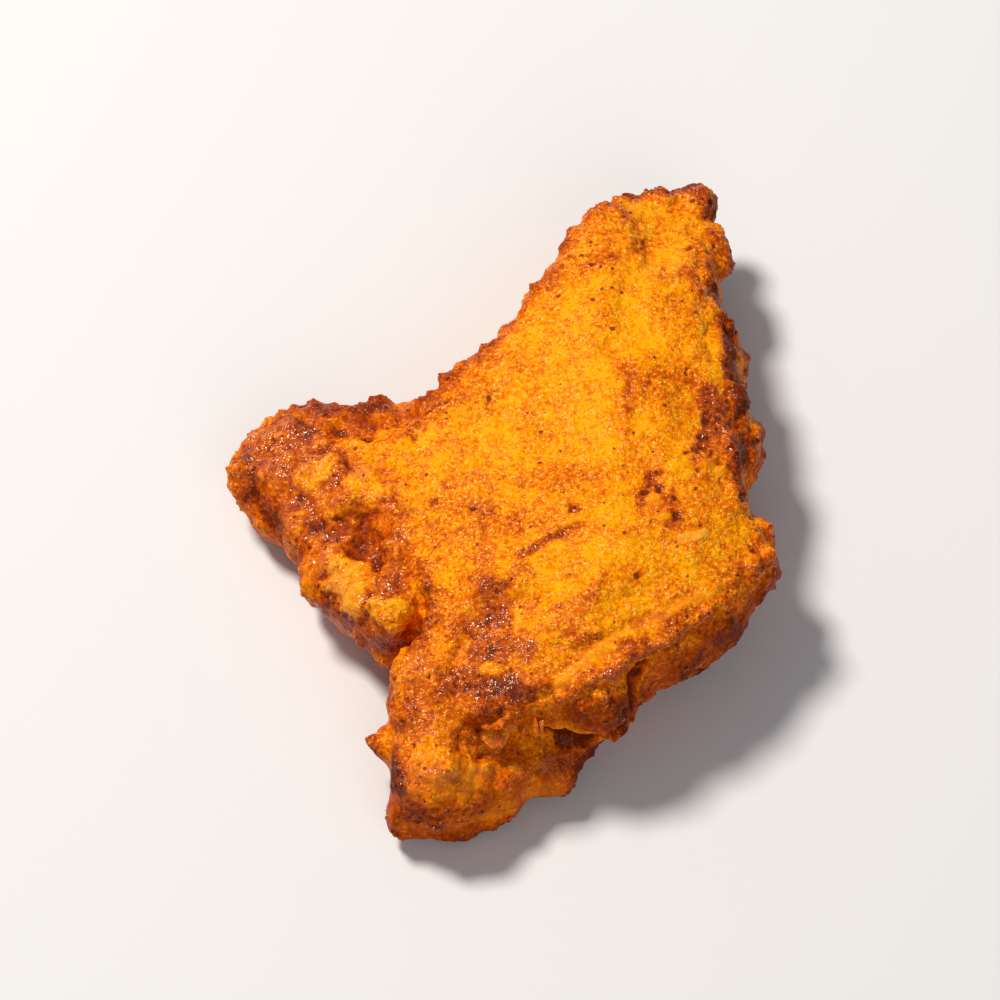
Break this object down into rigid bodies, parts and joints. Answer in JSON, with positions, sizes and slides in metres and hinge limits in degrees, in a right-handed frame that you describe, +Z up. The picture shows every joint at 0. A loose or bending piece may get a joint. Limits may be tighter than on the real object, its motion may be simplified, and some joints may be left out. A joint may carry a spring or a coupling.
{
  "type": "kibbeling",
  "caption": "Chunk of white fish fried in batter: a thick kite-shaped slab with a lower side lobe and a short tail, for use as loose fried food.",
  "frame": {"origin": "on the level that the piece lies on, below the middle of its box", "axes": "+Y along the piece towards its narrow tip, with the short tail at -Y and the lower lobe at -X, and +Z up through its thickness"},
  "size_m": [0.0514, 0.067, 0.0167],
  "materials": {
    "batter_crust": "golden fried batter crust, browner at rims and knobs, with a thin film of oil"
  },
  "bodies": {
    "root": {"kibbeling": "batter_crust"}
  },
  "joints": []
}
